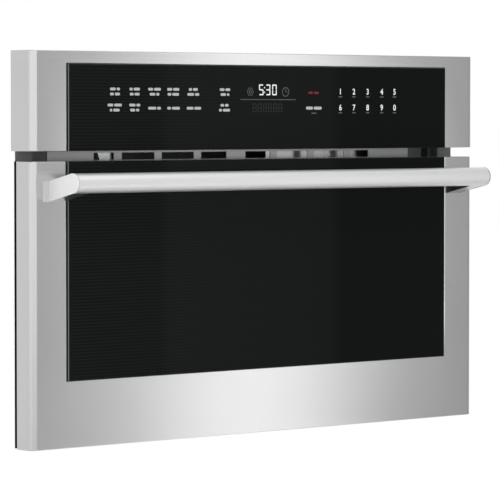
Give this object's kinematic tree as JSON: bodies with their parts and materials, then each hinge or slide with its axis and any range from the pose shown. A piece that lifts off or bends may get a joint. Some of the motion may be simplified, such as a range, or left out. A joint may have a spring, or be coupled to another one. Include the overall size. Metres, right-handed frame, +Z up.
{
  "type": "built-in microwave oven",
  "caption": "Wide built-in microwave oven with a drop-down glass door, a bar handle, a black touch control panel and an air outlet between them.",
  "frame": {"origin": "middle of the flange's back face at the height of the base plate's underside, where the cabinet's front face meets the cut-out's floor", "axes": "+X to the right seen from the front, +Y into the cabinet, +Z up"},
  "size_m": [0.759, 0.6424, 0.486],
  "materials": {
    "brushed_front_steel": "fine horizontal brushing",
    "dark_painted_steel": "satin dark grey paint",
    "zinc_coated_steel": "zinc-coated sheet, satin",
    "vent_steel": "dull satin steel",
    "black_front_glass": "gloss black back-printed glass",
    "clear_glass": "clear tempered glass",
    "cavity_enamel": "light grey enamel",
    "black_plastic": "moulded, fine grain",
    "white_plastic": "moulded",
    "handle_steel": "satin",
    "handle_casting": "satin",
    "plain_steel": "bright plated",
    "spring_steel": "plated wire",
    "heater_sheath": "oxidised tube",
    "mica": "mica board",
    "board_green": "coated circuit board",
    "motor_iron": "laminated iron",
    "lamp_white": "lamp and housing",
    "capacitor_can": "drawn can"
  },
  "bodies": {
    "chassis": {"mounting_flange": "dark_painted_steel", "base_plate": "zinc_coated_steel", "right_side_panel": "zinc_coated_steel", "left_side_panel": "zinc_coated_steel", "top_cover": "zinc_coated_steel", "rear_panel": "zinc_coated_steel", "rear_screws": "plain_steel", "cord_gland": "black_plastic", "front_frame": "dark_painted_steel", "vent_strip": "vent_steel", "exhaust_duct": "dark_painted_steel", "cavity_liner": "cavity_enamel", "cavity_back": "cavity_enamel", "waveguide_cover": "mica", "oven_lamp": "lamp_white", "broil_element": "heater_sheath", "turntable_motor": "plain_steel", "convection_housing": "zinc_coated_steel", "convection_heater": "heater_sheath", "convection_motor": "motor_iron", "component_deck": "zinc_coated_steel", "waveguide": "zinc_coated_steel", "magnetron": "plain_steel", "power_transformer": "motor_iron", "capacitor": "capacitor_can", "blower_housing": "zinc_coated_steel", "blower_motor": "motor_iron", "control_bezel": "brushed_front_steel", "control_glass": "black_front_glass", "control_carrier": "black_plastic", "control_board": "board_green", "display_module": "black_plastic", "hinge_arms": "plain_steel", "latch_boards": "white_plastic", "interlock_switches": "black_plastic"},
    "door": {"door_skin": "brushed_front_steel", "door_glass": "black_front_glass", "glass_backing": "black_plastic", "door_frame": "dark_painted_steel", "choke_frame": "dark_painted_steel", "choke_cover": "black_plastic", "inner_glass": "clear_glass", "window_screen": "dark_painted_steel", "hinge_channels": "plain_steel", "hinge_pins": "plain_steel", "hinge_springs": "spring_steel", "handle_bar": "handle_steel", "handle_posts": "handle_casting", "handle_screws": "plain_steel", "latch_bearings": "white_plastic"},
    "latch": {"latch_bar": "plain_steel"},
    "plungers": {"interlock_plungers": "white_plastic"},
    "turntable": {"turntable_coupler": "white_plastic", "turntable_glass": "clear_glass"},
    "roller_carrier": {"roller_ring": "black_plastic"},
    "roller_a": {"roller_1": "black_plastic"},
    "roller_b": {"roller_2": "black_plastic"},
    "roller_c": {"roller_3": "black_plastic"},
    "convection_rotor": {"convection_fan": "plain_steel"},
    "blower_rotor": {"blower_wheel": "plain_steel"}
  },
  "joints": [
    {"name": "door_hinge", "type": "hinge", "parent": "chassis", "child": "door", "pos_m": [0, -0.022, 0.0005], "axis": [1, 0, 0], "range_deg": [0, 90], "stiffness_Nm_per_rad": 8, "springref_deg": -8.59},
    {"name": "latch_pivot", "type": "hinge", "parent": "door", "child": "latch", "pos_m": [0, -0.02, 0.322], "axis": [1, 0, 0], "range_deg": [0, 6], "stiffness_Nm_per_rad": 2, "springref_deg": -8.59},
    {"name": "plunger_press", "type": "slide", "parent": "chassis", "child": "plungers", "axis": [0, 1, 0], "range_m": [0, 0.0015], "stiffness_N_per_m": 400, "springref_m": -0.002},
    {"name": "turntable_spin", "type": "hinge", "parent": "chassis", "child": "turntable", "pos_m": [0, 0.2102, 0.05], "axis": [0, 0, 1], "continuous": true},
    {"name": "roller_carrier_spin", "type": "hinge", "parent": "chassis", "child": "roller_carrier", "pos_m": [0, 0.2102, 0.0494], "axis": [0, 0, 1], "continuous": true},
    {"name": "convection_spin", "type": "hinge", "parent": "chassis", "child": "convection_rotor", "pos_m": [0, 0.43, 0.1595], "axis": [0, 1, 0], "continuous": true},
    {"name": "blower_spin", "type": "hinge", "parent": "chassis", "child": "blower_rotor", "pos_m": [-0.25, 0.4, 0.3532], "axis": [1, 0, 0], "continuous": true},
    {"name": "roller_a_spin", "type": "hinge", "parent": "roller_carrier", "child": "roller_a", "pos_m": [0, 0.3202, 0.0494], "axis": [0, 1, 0], "continuous": true},
    {"name": "roller_b_spin", "type": "hinge", "parent": "roller_carrier", "child": "roller_b", "pos_m": [-0.09526, 0.1552, 0.0494], "axis": [-0.866, -0.5, 0], "continuous": true},
    {"name": "roller_c_spin", "type": "hinge", "parent": "roller_carrier", "child": "roller_c", "pos_m": [0.09526, 0.1552, 0.0494], "axis": [0.866, -0.5, 0], "continuous": true}
  ],
  "couplings": [
    {"joint": "roller_carrier_spin", "follows": "turntable_spin", "ratio": 0.5},
    {"joint": "roller_a_spin", "follows": "turntable_spin", "ratio": -7.8571},
    {"joint": "roller_b_spin", "follows": "turntable_spin", "ratio": -7.8571},
    {"joint": "roller_c_spin", "follows": "turntable_spin", "ratio": -7.8571}
  ]
}
